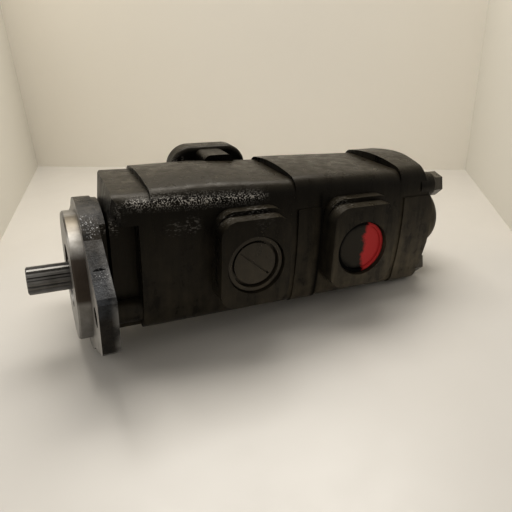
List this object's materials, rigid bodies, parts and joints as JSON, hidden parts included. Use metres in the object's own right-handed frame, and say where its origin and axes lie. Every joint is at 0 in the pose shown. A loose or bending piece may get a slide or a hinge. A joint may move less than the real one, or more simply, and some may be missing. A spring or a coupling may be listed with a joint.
{
  "type": "tandem gear pump",
  "caption": "Tandem hydraulic gear pump: two external-gear sections on one splined shaft in a black bolted casing with a two-bolt mounting flange, side outlet pads and an inlet pad",
  "frame": {"origin": "centre of the pilot, in the plane of the mounting face", "axes": "+X runs rearwards along the drive shaft, away from the shaft end; -Y is the side with the two outlet pads, +Y the side with the inlet pad; +Z points from the drive gears to the idler gears"},
  "size_m": [0.3765, 0.183, 0.143],
  "materials": {
    "casing_black": "satin",
    "shaft_steel": "satin",
    "gear_steel": "satin",
    "block_metal": "satin",
    "bush_bronze": "satin",
    "seal_rubber": "matte",
    "ring_steel": "satin",
    "bolt_black": "satin",
    "plug_black": "satin",
    "plug_red": "satin",
    "pin_steel": "satin"
  },
  "bodies": {
    "casing": {"mounting_cover": "casing_black", "front_gear_housing": "casing_black", "centre_plate": "casing_black", "rear_gear_housing": "casing_black", "rear_cover": "casing_black", "case_bolts": "bolt_black", "bolt_washers": "bolt_black", "dowel_pins": "pin_steel", "shaft_seal": "seal_rubber", "seal_retaining_ring": "ring_steel", "shaft_bushing": "bush_bronze", "front_bearing_block_fore": "block_metal", "front_bearing_block_aft": "block_metal", "rear_bearing_block_fore": "block_metal", "rear_bearing_block_aft": "block_metal", "block_pressure_seals": "seal_rubber", "front_cover_seal": "seal_rubber", "front_section_seal": "seal_rubber", "rear_section_seal": "seal_rubber", "rear_cover_seal": "seal_rubber", "front_port_plug": "plug_black", "rear_port_seal": "plug_black", "rear_port_plug": "plug_red"},
    "drive_train": {"drive_shaft": "shaft_steel", "coupling_stub": "gear_steel", "rear_drive_gear": "gear_steel"},
    "front_idler": {"front_idler_gear": "gear_steel"},
    "rear_idler": {"rear_idler_gear": "gear_steel"}
  },
  "joints": [
    {"name": "drive_spin", "type": "hinge", "parent": "casing", "child": "drive_train", "pos_m": [0.12, 0, 0], "axis": [1, 0, 0], "continuous": true},
    {"name": "front_idler_spin", "type": "hinge", "parent": "casing", "child": "front_idler", "pos_m": [0.12, 0, 0.039], "axis": [1, 0, 0], "continuous": true},
    {"name": "rear_idler_spin", "type": "hinge", "parent": "casing", "child": "rear_idler", "pos_m": [0.12, 0, 0.039], "axis": [1, 0, 0], "continuous": true}
  ],
  "couplings": [
    {"joint": "front_idler_spin", "follows": "drive_spin", "ratio": -1},
    {"joint": "rear_idler_spin", "follows": "drive_spin", "ratio": -1}
  ]
}
